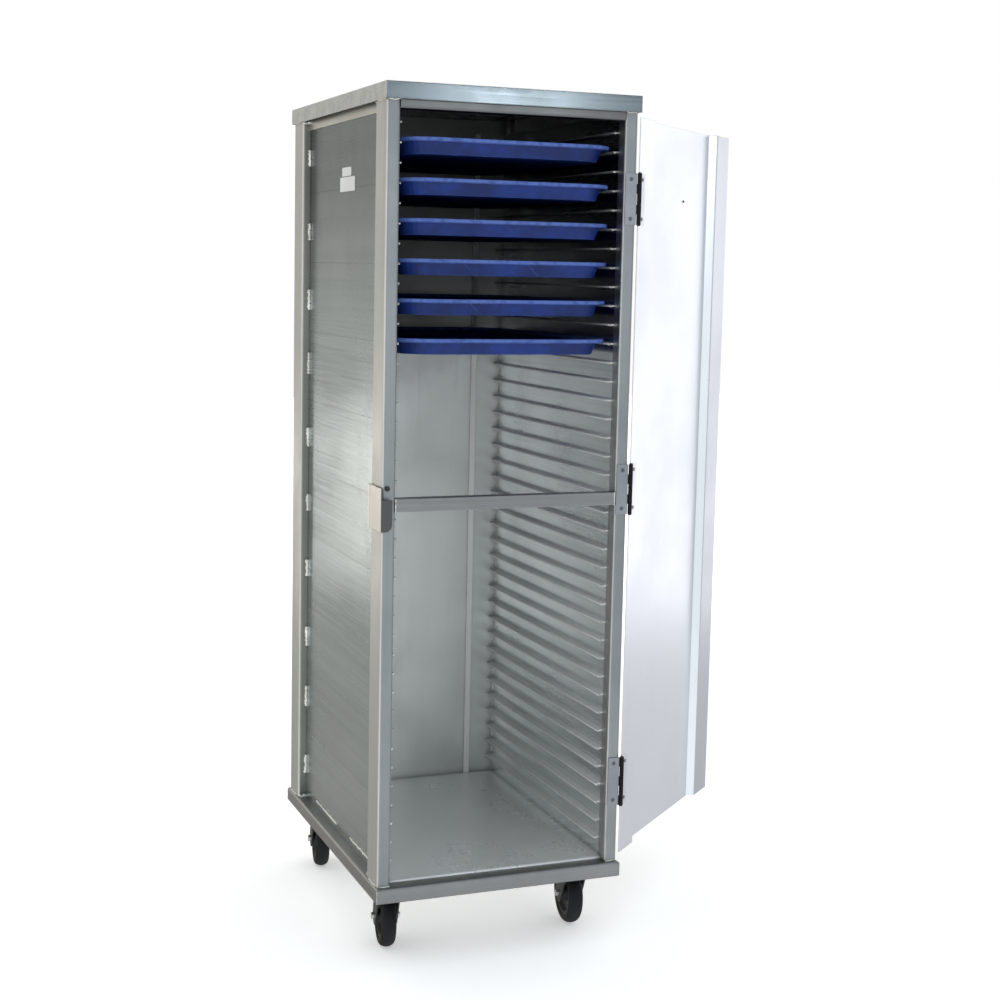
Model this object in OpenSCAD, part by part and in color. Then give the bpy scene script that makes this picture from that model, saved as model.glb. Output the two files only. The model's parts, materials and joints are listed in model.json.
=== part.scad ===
// Tall enclosed pan cabinet on casters: welded aluminium, one front door, trays on side ledges.
// Millimetres, +Z up, front towards -Y. Origin on the floor, under the middle of the cabinet body.

/* [Cabinet] */
// Outside width of the base and the lid
cab_w = 529; // [527:1:535]
// Front-to-back size of the base
base_d = 694; // [690:1:700]
// Front-to-back size of the lid
lid_d = 690; // [688:1:694]
// Height of the base frame's underside above the floor
base_z = 141; // [141:1:150]
// Height of the skirt of the base and of the lid's rim
skirt_h = 32; // [30:1:34]
// Bending radius of the formed sheet
bend_r = 2; // [1:0.5:3]
// Thickness of the frame sheet
frame_t = 3; // [2.5:0.5:3]

/* [Pan ledges] */
// Height from one ledge to the next
pitch = 38.1; // [38.1:0.1:38.1]
// Number of ledges on each side
ledge_count = 39; // [39:1:39]
// Number of planks on each side wall
plank_count = 10; // [10:1:10]
// Free width between the two rows of ledges
ledge_gap = 443; // [440:1:446]
// Thickness of a ledge
ledge_t = 3; // [2:0.5:3]

/* [Posts] */
// Width of a post seen from the front
post_w = 27; // [25:1:28]
// Front-to-back size of a post
post_d = 70; // [66:1:72]

/* [Door] */
// Width of the door sheet
door_w = 522; // [520:1:523]
// Height of the door sheet
door_h = 1506; // [1500:1:1508]
// Width of the flat flange along each upright door edge
door_flange = 76; // [76:1:84]
// Depth by which the door's middle stands out
door_step = 15; // [12:1:15]
// Thickness of the door sheet
door_t = 2; // [1.5:0.5:2]
// Angle that the door stands open at rest, from closed
door_open = 221.4; // [180:0.1:268]

/* [Trays] */
// Tray width over its rim
tray_w = 455; // [452:1:456]
// Tray length over its rim
tray_l = 655; // [600:1:655]
// Tray height from rim to underside
tray_h = 31; // [25:1:32]
// Corner radius of the rim
tray_r = 75; // [50:1:78]

/* [Casters] */
// Wheel diameter
wheel_d = 127; // [127:1:127]
// Wheel tread width
wheel_w = 32; // [30:1:33]
// Height of the caster's mounting face above the floor
caster_h = 157; // [157:1:157]
// Distance from the swivel axis back to the axle
trail = 38.9; // [35:0.1:42]
// Swivel axis left and right of the middle
caster_x = 207.6; // [200:0.1:208]
// Swivel axis in front of and behind the middle
caster_y = 247.9; // [240:0.1:255]

/* [Hidden] */
$fn = 64;
fit = 0.05;
touch = 0.15;
base_top = base_z + skirt_h;
floor_t = 2.5;
floor_top = base_top + 5;
wall_top = floor_top + pitch * (ledge_count + 1);
lid_t = 2.5;
lid_z = wall_top + 1;
lid_top = lid_z + skirt_h;
frame_top = lid_top - lid_t;
frame_front = -337;
post_x = 260.5;
post_inner = post_x - post_w;
post_lap = 242;
wall_t = 5;
wall_in = post_lap - wall_t;
wall_front = -307.6;
wall_back = 318;
seam = 0.3;
back_t = 2.5;
batten_x = 171;
batten_w = 13;
batten_t = 3;
base_flange = 50;
base_lip = 20;
rail_low = wall_top - 16;
rail_t = 2.5;
header_flange = 25;
bar_h = 25.4;
bar_z = 934.3;
bar_t = 2;
channel_w = 120;
floor_front = -318;

// hinges
leaf_t = 2.2;
leaf_gap = 1.2;
hinge_h = 101.6;
hinge_x = 266;
hinge_y = frame_front - leaf_t - leaf_gap / 2;
knuckle_r = 4.5;
pin_r = 2.5;
leaf_w = 25;
hinge_z = [343, 953, 1534];
knuckle_n = 5;
screw_r = 2.4;
screw_head_r = 4.2;
screw_head_h = 0.5;
screw_up = 39;
door_z = 188;
door_face = frame_front - 2 * leaf_t - leaf_gap;
door_edge = hinge_x - 5.5;

// latch
latch_z = 885;
latch_h = 84;
latch_t = 2.2;
latch_x = -263;
latch_front = -346;
flap_w = 22;
flap_h = 62;
flap_r = 14;
latch_pin_x = -264.2;
latch_pin_y = -268;
latch_pin_r = 1.5;
latch_knuckle_r = 3.5;
latch_leaf = 1.9;
bracket_reach = 30;
bracket_knuckle = 22;
bumper_x = -250.7;
bumper_z = 968;
bumper_r = 5;
bumper_h = 4;

// casters
axle_z = wheel_d / 2;
plate_t = 4;
plate_x = 60;
plate_y = 92;
plate_hole_x = 44.5;
plate_hole_y = 70;
plate_bolt_r = 4;
crown_z = 134;
crown_t = 4;
race_r = 28;
race_gap = 0.5;
race_z = 145;
kingpin_r = 6;
kingpin_head_r = 10;
kingpin_head_h = 4;
fork_in = 20;
fork_t = 3.2;
fork_front = -24;
fork_back = 36;
fork_r = 19;
axle_r = 4;
hex_r = 7.5;
hex_h = 5.6;
hub_r = 46;
boss_r = 14;
boss_half = 18.8;
tread_r = 11;
swivel_rest = [-9.5, -7, -10, -8];
caster_side = [[-1, -1], [1, -1], [-1, 1], [1, 1]];

// trays, on every second ledge from the top one but one
tray_ledges = [38, 36, 34, 32, 30, 28];
tray_front = -341;
tray_x = -4;
rest_gap = 0.3;
rim_w = 12;
rim_drop = 8;
tray_t = 2;
wall_in_slope = 12;

// ---------- shared shapes ----------

// A box between two opposite corners
module block(low, high) {
    translate(low) cube(high - low);
}

// Directions along a path and its unit left-hand normals
function unit(v) = v / norm(v);
function left_of(d) = [-d[1], d[0]];
function turned(v, a) = [v[0] * cos(a) - v[1] * sin(a), v[0] * sin(a) + v[1] * cos(a)];
function bend_angle(a, b) = atan2(a[0] * b[1] - a[1] * b[0], a * b);

// One side of a bent sheet at a corner: an arc about the bend's own centre
function corner(p, before, after, t, far) =
    let(d = unit(p - before), e = unit(after - p), turn = bend_angle(d, e), s = sign(turn),
        near_r = s > 0 ? bend_r + t : bend_r, far_r = s > 0 ? bend_r : bend_r + t,
        centre = p - d * near_r * tan(abs(turn) / 2) + left_of(d) * near_r * s,
        r = far ? far_r : near_r)
    [for (k = [0:4]) centre + turned(-s * left_of(d), turn * k / 4) * r];

// One whole side of a bent sheet that follows a path, on the path or a thickness to its left
function side(path, t, far) =
    let(n = len(path) - 1, shift = far ? t : 0)
    concat([path[0] + left_of(unit(path[1] - path[0])) * shift],
        [for (i = [1:1:n - 1]) each corner(path[i], path[i - 1], path[i + 1], t, far)],
        [path[n] + left_of(unit(path[n] - path[n - 1])) * shift]);

// Outline of a sheet of thickness t to the left of its outer face
function sheet(path, t) =
    let(far = side(path, t, true))
    concat(side(path, t, false), [for (i = [len(far) - 1:-1:0]) far[i]]);

// An outline in Y and Z run along X
module along_x(x0, x1) {
    translate([x0, 0, 0]) rotate([90, 0, 90]) linear_extrude(x1 - x0) children();
}

// An outline in X and Z run along Y
module along_y(y0, y1) {
    translate([0, y1, 0]) rotate([90, 0, 0]) linear_extrude(y1 - y0) children();
}

// ---------- base ----------

// One mitred rail of the base: top flange, skirt and bottom lip, built as the front rail
module base_rail(half_run, set_back) {
    color("silver") intersection() {
        along_x(-half_run, half_run)
            polygon(sheet([[base_flange - set_back, base_top], [-set_back, base_top],
                [-set_back, base_z], [base_lip - set_back, base_z]], frame_t));
        translate([0, 0, base_z]) linear_extrude(skirt_h)
            polygon([[-half_run, -set_back], [half_run, -set_back],
                [half_run - base_flange, base_flange - set_back],
                [base_flange - half_run, base_flange - set_back]]);
    }
}

module base_front_rail() base_rail(cab_w / 2, base_d / 2);
module base_rear_rail() rotate([0, 0, 180]) base_rail(cab_w / 2, base_d / 2);
module base_left_rail() rotate([0, 0, -90]) base_rail(base_d / 2, cab_w / 2);
module base_right_rail() rotate([0, 0, 90]) base_rail(base_d / 2, cab_w / 2);

// Cross channel under the floor that carries two casters
module caster_channel(y) {
    half = channel_w / 2;
    reach = cab_w / 2 - frame_t - bend_r;
    top = base_top - frame_t;
    color("silver") difference() {
        along_x(-reach, reach)
            polygon(sheet([[y - half, top], [y - half, caster_h], [y + half, caster_h],
                [y + half, top]], frame_t));
        for (x = [-caster_x, caster_x]) translate([x, y, caster_h])
            plate_holes(frame_t + 1);
    }
}

module front_caster_channel() caster_channel(-caster_y);
module rear_caster_channel() caster_channel(caster_y);

// Floor sheet with a turned-down front edge, notched round the front posts
module floor_pan() {
    color("silver") intersection() {
        along_x(-wall_in, wall_in)
            polygon(sheet([[wall_back, floor_top], [floor_front, floor_top],
                [floor_front, base_top]], floor_t));
        translate([0, 0, base_top]) linear_extrude(floor_top)
            polygon([[-post_inner, floor_front], [post_inner, floor_front],
                [post_inner, wall_front], [wall_in, wall_front], [wall_in, wall_back],
                [-wall_in, wall_back], [-wall_in, wall_front], [-post_inner, wall_front]]);
    }
}

// ---------- uprights, top frame and lid ----------

// Corner post, built at the front left: a folded section whose inner leg stops at leg_end
module post(leg_end) {
    color("silver") translate([0, 0, base_top]) linear_extrude(frame_top - base_top)
        polygon(sheet([[-post_lap, frame_front + post_d], [-post_x, frame_front + post_d],
            [-post_x, frame_front], [-post_inner, frame_front], [-post_inner, leg_end]],
            frame_t));
}

module front_left_post() post(wall_front);
module front_right_post() mirror([1, 0, 0]) post(wall_front);
module rear_left_post() mirror([0, 1, 0]) post(-wall_back - back_t);
module rear_right_post() mirror([1, 0, 0]) rear_left_post();

// Lid: a shallow pan turned upside down over the posts
module lid() {
    color("silver") difference() {
        block([-cab_w / 2, -lid_d / 2, lid_z], [cab_w / 2, lid_d / 2, lid_top]);
        block([lid_t - cab_w / 2, lid_t - lid_d / 2, lid_z - 1],
            [cab_w / 2 - lid_t, lid_d / 2 - lid_t, frame_top]);
    }
}

// Header between the front posts, with its lower flange turned in
module front_header() {
    color("silver") along_x(-post_inner, post_inner)
        polygon(sheet([[frame_front, frame_top], [frame_front, rail_low],
            [frame_front + header_flange, rail_low]], frame_t));
}

module rear_top_rail() {
    y = wall_back + back_t;
    color("silver") block([-post_inner, y, rail_low], [post_inner, y + rail_t, frame_top]);
}

module left_top_rail() {
    run = frame_front + post_d;
    color("silver") block([-post_lap - rail_t, run, rail_low], [-post_lap, -run, frame_top]);
}

module right_top_rail() mirror([1, 0, 0]) left_top_rail();

// Square tube across the door opening at half height
module middle_bar() {
    color("silver") along_x(-post_inner, post_inner) translate([frame_front, bar_z - bar_h / 2])
        difference() {
            square(bar_h);
            translate([bar_t, bar_t]) square(bar_h - 2 * bar_t);
        }
}

// ---------- walls, ledges and back ----------

// Side wall of wide extruded planks, one above the other
module right_wall_planks() {
    plank_h = (wall_top - floor_top) / plank_count;
    color("gainsboro") for (i = [0:plank_count - 1])
        block([wall_in, wall_front, i == 0 ? base_top : floor_top + plank_h * i + seam / 2],
            [post_lap, wall_back, floor_top + plank_h * (i + 1) - seam / 2]);
}

module left_wall_planks() mirror([1, 0, 0]) right_wall_planks();

// Ledges that the trays slide on, one at each pitch
module right_ledges() {
    color("gainsboro") for (k = [1:ledge_count])
        translate([0, 0, floor_top + pitch * k - ledge_t / 3])
            block([ledge_gap / 2, wall_front, 0], [wall_in, wall_back, ledge_t]);
}

module left_ledges() mirror([1, 0, 0]) right_ledges();

module back_panel() {
    color("gray") block([-post_lap, wall_back, base_top],
        [post_lap, wall_back + back_t, frame_top]);
}

// Upright strip that covers the joint of the back sheets on the inside
module back_batten() {
    color("white") block([batten_x - batten_w / 2, wall_back - batten_t, floor_top],
        [batten_x + batten_w / 2, wall_back, wall_top]);
}

// ---------- door and hinges ----------

// Puts a shape that is drawn with the door closed into the rest position
module as_opened() {
    translate([hinge_x, hinge_y, 0]) rotate([0, 0, door_open])
        translate([-hinge_x, -hinge_y, 0]) children();
}

// Door: one formed sheet whose middle stands out past flat flanges, drawn closed
module door_sheet() {
    left = door_edge - door_w;
    out = door_face - door_step;
    color("whitesmoke") as_opened() translate([0, 0, door_z]) linear_extrude(door_h)
        polygon(sheet([[door_edge, door_face], [door_edge - door_flange, door_face],
            [door_edge - door_flange, out], [left + door_flange, out],
            [left + door_flange, door_face], [left, door_face]], door_t));
}

// A knuckle with its bore, between two heights
module knuckle(r, bore_r, z0, z1) {
    translate([0, 0, z0]) difference() {
        cylinder(r = r, h = z1 - z0);
        translate([0, 0, -1]) cylinder(r = bore_r, h = z1 - z0 + 2);
    }
}

// Half a butt hinge: a leaf from y0 to y1 and every second knuckle from the first
module hinge_half(z, y0, y1, first) {
    step = hinge_h / knuckle_n;
    z0 = z - hinge_h / 2;
    for (i = [first:2:knuckle_n - 1]) translate([hinge_x, hinge_y, 0])
        knuckle(knuckle_r, pin_r + fit, z0 + step * i + touch, z0 + step * (i + 1) - touch);
    difference() {
        union() {
            block([door_edge - leaf_w, y0, z0], [door_edge, y1, z0 + hinge_h]);
            for (i = [first:2:knuckle_n - 1])
                block([door_edge - 1, y0, z0 + step * i + touch],
                    [hinge_x, y1, z0 + step * (i + 1) - touch]);
        }
        translate([hinge_x, hinge_y, z0 - 1]) cylinder(r = knuckle_r - 1, h = hinge_h + 2);
        for (up = [-screw_up, screw_up]) leaf_hole(z + up, y0, y1);
    }
}

// Screw hole through a leaf
module leaf_hole(z, y0, y1) {
    translate([door_edge - leaf_w / 2, y0 - 1, z]) rotate([-90, 0, 0])
        cylinder(r = screw_r + fit, h = y1 - y0 + 2);
}

// The top two hinges have two knuckles on the post's leaf, the lowest has three
function first_frame(i) = i == 0 ? 0 : 1;

module hinge_frame_leaves() {
    color("silver") for (i = [0:2])
        hinge_half(hinge_z[i], frame_front - leaf_t, frame_front, first_frame(i));
}

module hinge_door_leaves() {
    color("silver") as_opened() for (i = [0:2])
        hinge_half(hinge_z[i], door_face, door_face + leaf_t, 1 - first_frame(i));
}

module hinge_pins() {
    cap = 2;
    color("dimgray") for (z = hinge_z) translate([hinge_x, hinge_y, z - hinge_h / 2]) {
        translate([0, 0, -cap]) cylinder(r = pin_r, h = hinge_h + cap);
        for (end = [-cap, hinge_h]) translate([0, 0, end])
            cylinder(r = knuckle_r - 1, h = cap);
    }
}

// A low-headed screw in a leaf, its head towards dir along Y
module leaf_screw(z, y, dir) {
    translate([door_edge - leaf_w / 2, y, z]) rotate([dir * -90, 0, 0]) {
        translate([0, 0, -leaf_t]) cylinder(r = screw_r, h = leaf_t);
        cylinder(r1 = screw_head_r, r2 = screw_head_r - 0.5, h = screw_head_h);
    }
}

module hinge_frame_screws() {
    color("dimgray") for (z = hinge_z, up = [-screw_up, screw_up])
        leaf_screw(z + up, frame_front - leaf_t, -1);
}

module hinge_door_screws() {
    color("dimgray") as_opened() for (z = hinge_z, up = [-screw_up, screw_up])
        leaf_screw(z + up, door_face + leaf_t, 1);
}

// ---------- latch ----------

// Hook: a bent plate on a pin behind the post, whose front flap traps the door's edge
module latch_hook() {
    color("gainsboro") {
        difference() {
            union() {
                block([latch_x - latch_t, latch_front, latch_z],
                    [latch_x, latch_pin_y, latch_z + latch_h]);
                latch_flap();
            }
            for (z = [latch_z - 1, latch_z + latch_h - bracket_knuckle - touch])
                block([latch_x - latch_t - 1, latch_pin_y - latch_knuckle_r - 1, z],
                    [latch_x + 1, latch_pin_y + 1, z + bracket_knuckle + touch + 1]);
            translate([latch_pin_x, latch_pin_y, latch_z - 1])
                cylinder(r = latch_knuckle_r - 1, h = latch_h + 2);
        }
        translate([latch_pin_x, latch_pin_y, 0]) knuckle(latch_knuckle_r, latch_pin_r + fit,
            latch_z + bracket_knuckle + touch, latch_z + latch_h - bracket_knuckle - touch);
    }
}

// Front flap with one round lower corner
module latch_flap() {
    x1 = latch_x - latch_t + flap_w;
    translate([0, latch_front, 0]) rotate([90, 0, 0]) linear_extrude(latch_t)
        difference() {
            translate([latch_x - latch_t, latch_z]) square([flap_w, flap_h]);
            translate([x1 - flap_r, latch_z]) difference() {
                square(flap_r);
                translate([0, flap_r]) circle(r = flap_r);
            }
        }
}

// Fixed leaf on the side of the post, with the outer two knuckles
module latch_bracket() {
    ends = [[latch_z, latch_z + bracket_knuckle],
        [latch_z + latch_h - bracket_knuckle, latch_z + latch_h]];
    color("gainsboro") for (e = ends) {
        difference() {
            block([-post_x - latch_leaf, latch_pin_y - bracket_reach, e[0]],
                [-post_x, latch_pin_y, e[1]]);
            translate([latch_pin_x, latch_pin_y, latch_z - 1])
                cylinder(r = latch_knuckle_r - 1, h = latch_h + 2);
        }
        translate([latch_pin_x, latch_pin_y, 0])
            knuckle(latch_knuckle_r, latch_pin_r + fit, e[0], e[1]);
    }
}

module latch_pin() {
    cap = 1.5;
    color("dimgray") translate([latch_pin_x, latch_pin_y, latch_z]) {
        translate([0, 0, -cap]) cylinder(r = latch_pin_r, h = latch_h + 2 * cap);
        for (end = [-cap, latch_h]) translate([0, 0, end])
            cylinder(r = latch_knuckle_r - 1, h = cap);
    }
}

// Rubber stop on the post's face, just short of the closed door
module door_bumper() {
    color("black") translate([bumper_x, frame_front, bumper_z]) rotate([90, 0, 0]) {
        cylinder(r = bumper_r, h = bumper_h - 1);
        translate([0, 0, bumper_h - 1]) cylinder(r1 = bumper_r, r2 = bumper_r - 1, h = 1);
    }
}

// ---------- casters ----------

// Four holes of a caster plate, through a depth centred on its mounting face
module plate_holes(depth) {
    for (x = [-1, 1], y = [-1, 1])
        translate([x * plate_hole_x / 2, y * plate_hole_y / 2, -depth])
            cylinder(r = plate_bolt_r + fit, h = 2 * depth);
}

// Caster number i, placed at its swivel axis
module at_caster(i) {
    translate([caster_side[i][0] * caster_x, caster_side[i][1] * caster_y, 0]) children();
}

// What swivels, turned to its rest heading, with the axle trailing behind
module swivelled(i) {
    at_caster(i) rotate([0, 0, swivel_rest[i]]) children();
}

// Mounting plate with its upper ball race and kingpin
module caster_plate(i) {
    color("darkgray") at_caster(i) {
        difference() {
            translate([-plate_x / 2, -plate_y / 2, caster_h - plate_t])
                cube([plate_x, plate_y, plate_t]);
            translate([0, 0, caster_h]) plate_holes(plate_t + 1);
        }
        rotate_extrude() polygon([[0, crown_z - kingpin_head_h - 1],
            [kingpin_head_r, crown_z - kingpin_head_h - 1], [kingpin_head_r, crown_z - 1],
            [kingpin_r, crown_z - 1], [kingpin_r, race_z + race_gap],
            [race_r - 6, race_z + race_gap], [race_r, race_z + race_gap + 2],
            [race_r - 4, caster_h - plate_t], [0, caster_h - plate_t]]);
    }
}

// Outline of one fork leg, in Y and Z
module leg_outline() {
    difference() {
        union() {
            polygon([[fork_front, crown_z + crown_t], [fork_back, crown_z + crown_t],
                [trail + fork_r, axle_z + 4], [trail - fork_r, axle_z - 4]]);
            translate([trail, axle_z]) circle(r = fork_r);
        }
        translate([trail, axle_z]) circle(r = axle_r + fit);
    }
}

// Fork: lower ball race, crown and two legs
module fork(i) {
    color("darkgray") swivelled(i) difference() {
        union() {
            for (x = [-fork_in - fork_t, fork_in]) along_x(x, x + fork_t) leg_outline();
            block([-fork_in, fork_front, crown_z], [fork_in, fork_back, crown_z + crown_t]);
            translate([0, 0, crown_z + crown_t - 1])
                cylinder(r1 = race_r - 4, r2 = race_r + 1, h = race_z - crown_z - crown_t + 1);
        }
        translate([0, 0, crown_z - 1]) cylinder(r = kingpin_r + fit, h = caster_h);
    }
}

// Turns a profile drawn as radius and width into a solid about the axle
module about_axle(i) {
    swivelled(i) translate([0, trail, axle_z]) rotate([0, 90, 0]) children();
}

// Solid tyre with a round tread, pressed round the hub
module tyre(i) {
    r = wheel_d / 2;
    w = wheel_w / 2;
    color("black") about_axle(i) rotate_extrude() polygon(concat([[hub_r, 2 - w]],
        [for (a = [-90:15:90]) [r - tread_r * (1 - cos(a)), w * sin(a)]], [[hub_r, w - 2]]));
}

module hub(i) {
    rim = wheel_w / 2 - 3;
    web = 5;
    bore = axle_r + fit;
    color("darkgray") about_axle(i) rotate_extrude() polygon([[bore, -boss_half],
        [boss_r, -boss_half], [boss_r + 3, -web], [hub_r - 9, -web], [hub_r - 6, -rim],
        [hub_r, -rim], [hub_r, rim], [hub_r - 6, rim], [hub_r - 9, web], [boss_r + 3, web],
        [boss_r, boss_half], [bore, boss_half]]);
}

// Axle bolt with its head on the left and a nut on the right
module axle(i) {
    out = fork_in + fork_t;
    color("silver") about_axle(i) {
        translate([0, 0, -out - 1]) cylinder(r = axle_r, h = 2 * out + hex_h + 3);
        translate([0, 0, -out - hex_h]) cylinder(r = hex_r, h = hex_h, $fn = 6);
        translate([0, 0, out]) cylinder(r = hex_r, h = hex_h, $fn = 6);
    }
}

// Bolts that hold the caster plates: hex heads below, nuts inside the channel
module caster_bolts() {
    head_z = caster_h - plate_t;
    nut_z = caster_h + frame_t;
    color("silver") for (i = [0:3], x = [-1, 1], y = [-1, 1]) at_caster(i)
        translate([x * plate_hole_x / 2, y * plate_hole_y / 2, 0]) {
            translate([0, 0, head_z]) cylinder(r = plate_bolt_r, h = nut_z + 4 - head_z);
            translate([0, 0, head_z - 4]) cylinder(r = hex_r - 1, h = 4, $fn = 6);
            translate([0, 0, nut_z]) cylinder(r = hex_r - 1, h = 4, $fn = 6);
        }
}

// ---------- trays ----------

// A flat plate with round corners, standing on z
module tray_plate(w, l, r, z, h) {
    translate([tray_x, tray_front + tray_l / 2, z]) linear_extrude(h) difference() {
        square([w, l], center = true);
        for (x = [-1, 1], y = [-1, 1]) translate([x * w / 2, y * l / 2]) difference() {
            square(2 * r, center = true);
            translate([-x * r, -y * r]) circle(r = r);
        }
    }
}

// The space inside a wall that leans in towards the bottom
module tray_cone(shrink, z0, z1) {
    hull() {
        tray_plate(tray_w - 2 * (rim_w + shrink), tray_l - 2 * (rim_w + shrink),
            tray_r - rim_w - shrink, z1 - 0.2, 0.2, $fn = 32);
        tray_plate(tray_w - 2 * (rim_w + wall_in_slope + shrink),
            tray_l - 2 * (rim_w + wall_in_slope + shrink),
            tray_r - rim_w - wall_in_slope - shrink, z0, 0.2, $fn = 32);
    }
}

// Tray: sloped walls and a rim whose edge is turned down to rest on the ledges
module tray(k) {
    rest_z = floor_top + pitch * k + ledge_t * 2 / 3 + rest_gap;
    top = rest_z + rim_drop;
    bottom = top - tray_h;
    color("royalblue") difference() {
        union() {
            difference() {
                tray_plate(tray_w, tray_l, tray_r, rest_z, rim_drop);
                tray_plate(tray_w - 2 * tray_t, tray_l - 2 * tray_t, tray_r - tray_t,
                    rest_z - 1, rim_drop - tray_t + 1);
            }
            tray_cone(0, bottom, top);
        }
        tray_cone(tray_t, bottom + tray_t, top + 0.1);
    }
}

base_front_rail();
base_rear_rail();
base_left_rail();
base_right_rail();
front_caster_channel();
rear_caster_channel();
floor_pan();
front_left_post();
front_right_post();
rear_left_post();
rear_right_post();
lid();
front_header();
rear_top_rail();
left_top_rail();
right_top_rail();
middle_bar();
left_wall_planks();
right_wall_planks();
left_ledges();
right_ledges();
back_panel();
back_batten();
hinge_frame_leaves();
hinge_door_leaves();
hinge_pins();
hinge_frame_screws();
hinge_door_screws();
door_sheet();
latch_hook();
latch_bracket();
latch_pin();
door_bumper();
caster_bolts();
caster_plate(0);  // front_left_caster_plate
caster_plate(1);  // front_right_caster_plate
caster_plate(2);  // rear_left_caster_plate
caster_plate(3);  // rear_right_caster_plate
fork(0);  // front_left_fork
fork(1);  // front_right_fork
fork(2);  // rear_left_fork
fork(3);  // rear_right_fork
tyre(0);  // front_left_tyre
tyre(1);  // front_right_tyre
tyre(2);  // rear_left_tyre
tyre(3);  // rear_right_tyre
hub(0);  // front_left_hub
hub(1);  // front_right_hub
hub(2);  // rear_left_hub
hub(3);  // rear_right_hub
axle(0);  // front_left_axle
axle(1);  // front_right_axle
axle(2);  // rear_left_axle
axle(3);  // rear_right_axle
tray(tray_ledges[0]);  // tray_1
tray(tray_ledges[1]);  // tray_2
tray(tray_ledges[2]);  // tray_3
tray(tray_ledges[3]);  // tray_4
tray(tray_ledges[4]);  // tray_5
tray(tray_ledges[5]);  // tray_6
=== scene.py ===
"""Looks for the tall tray cabinet: metals, plastics, welds, rims, label and light."""
import json
import math
import bmesh
import bpy
from mathutils import Matrix, Vector


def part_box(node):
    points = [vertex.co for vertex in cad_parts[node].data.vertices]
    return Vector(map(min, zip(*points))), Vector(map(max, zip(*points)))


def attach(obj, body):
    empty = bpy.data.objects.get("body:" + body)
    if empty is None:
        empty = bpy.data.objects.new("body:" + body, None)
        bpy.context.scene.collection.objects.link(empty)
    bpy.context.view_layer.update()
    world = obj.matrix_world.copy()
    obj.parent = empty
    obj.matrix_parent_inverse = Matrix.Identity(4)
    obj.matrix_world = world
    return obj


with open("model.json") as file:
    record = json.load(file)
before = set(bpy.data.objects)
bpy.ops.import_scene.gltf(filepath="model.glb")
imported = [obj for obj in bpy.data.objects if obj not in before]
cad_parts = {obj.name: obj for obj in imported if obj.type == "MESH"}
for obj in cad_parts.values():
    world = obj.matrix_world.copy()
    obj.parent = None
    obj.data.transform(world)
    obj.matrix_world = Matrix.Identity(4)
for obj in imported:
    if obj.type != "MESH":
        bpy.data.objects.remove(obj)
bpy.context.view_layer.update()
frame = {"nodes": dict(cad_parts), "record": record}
nodes = frame["nodes"]
scene = bpy.context.scene

CORNERS = ("front_left", "front_right", "rear_left", "rear_right")
TRAYS = tuple(f"tray_{i}" for i in range(1, 7))
CABINET = "cabinet"
SIDES = ((-1, "left"), (1, "right"))


# ---------- node words ----------

class Group:
    """Short words for building one node group or material tree."""

    def __init__(self, tree):
        self.tree = tree

    def add(self, kind, **settings):
        node = self.tree.nodes.new(kind)
        for key, value in settings.items():
            setattr(node, key, value)
        return node

    def link(self, source, target):
        self.tree.links.new(source, target)

    def feed(self, socket, value):
        """Sets a socket, or joins it to another node's output."""
        if isinstance(value, bpy.types.NodeSocket):
            self.link(value, socket)
        else:
            socket.default_value = value

    def sum(self, operation, first, second, clamp=False):
        node = self.add("ShaderNodeMath", operation=operation, use_clamp=clamp)
        self.feed(node.inputs[0], first)
        self.feed(node.inputs[1], second)
        return node.outputs[0]

    def spread(self, value, low, high, to_low=0.0, to_high=1.0):
        node = self.add("ShaderNodeMapRange", interpolation_type="SMOOTHSTEP")
        for socket, number in zip(node.inputs[:5], (value, low, high, to_low, to_high)):
            self.feed(socket, number)
        return node.outputs[0]

    def noise(self, vector, scale, detail=3.0, rough=0.5):
        node = self.add("ShaderNodeTexNoise")
        self.feed(node.inputs["Vector"], vector)
        self.feed(node.inputs["Scale"], scale)
        node.inputs["Detail"].default_value = detail
        node.inputs["Roughness"].default_value = rough
        return node.outputs["Fac"]

    def blend(self, amount, first, second, mode="MIX"):
        node = self.add("ShaderNodeMix", data_type="RGBA", blend_type=mode)
        self.feed(node.inputs[0], amount)
        self.feed(node.inputs[6], first)
        self.feed(node.inputs[7], second)
        return node.outputs[2]

    def stretched(self, vector, stretch, offset=None):
        node = self.add("ShaderNodeVectorMath", operation="MULTIPLY")
        self.feed(node.inputs[0], vector)
        self.feed(node.inputs[1], stretch)
        if offset is None:
            return node.outputs[0]
        moved = self.add("ShaderNodeVectorMath", operation="ADD")
        self.link(node.outputs[0], moved.inputs[0])
        self.feed(moved.inputs[1], offset)
        return moved.outputs[0]

    def own_place(self):
        """Where a point lies on its piece, as one vector."""
        return self.add("ShaderNodeTexCoord").outputs["Object"]

    def own_xyz(self):
        """The same place as x, y and z."""
        parts = self.add("ShaderNodeSeparateXYZ")
        self.link(self.own_place(), parts.inputs[0])
        return parts.outputs


# ---------- camera, floor and light ----------

CAMERA_PLACE = (-1.2305, -3.3654, 1.38685)
CAMERA_TURN, CAMERA_TILT, CAMERA_ROLL = -0.368, -0.119, -0.020


def set_up_camera():
    lens = bpy.data.cameras.new("camera")
    lens.sensor_width = 36
    lens.lens = 60.15
    lens.shift_x = 0.0212
    lens.shift_y = -0.0295
    lens.clip_end = 60
    camera = bpy.data.objects.new("camera", lens)
    scene.collection.objects.link(camera)
    turn = Matrix.Rotation(CAMERA_TURN, 4, "Z")
    tilt = Matrix.Rotation(CAMERA_TILT, 4, "X")
    roll = Matrix.Rotation(CAMERA_ROLL, 4, "Y")
    level = Matrix.Rotation(math.pi / 2, 4, "X")
    aim = turn @ tilt @ roll
    camera.matrix_world = Matrix.Translation(CAMERA_PLACE) @ aim @ level
    scene.camera = camera


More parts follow.
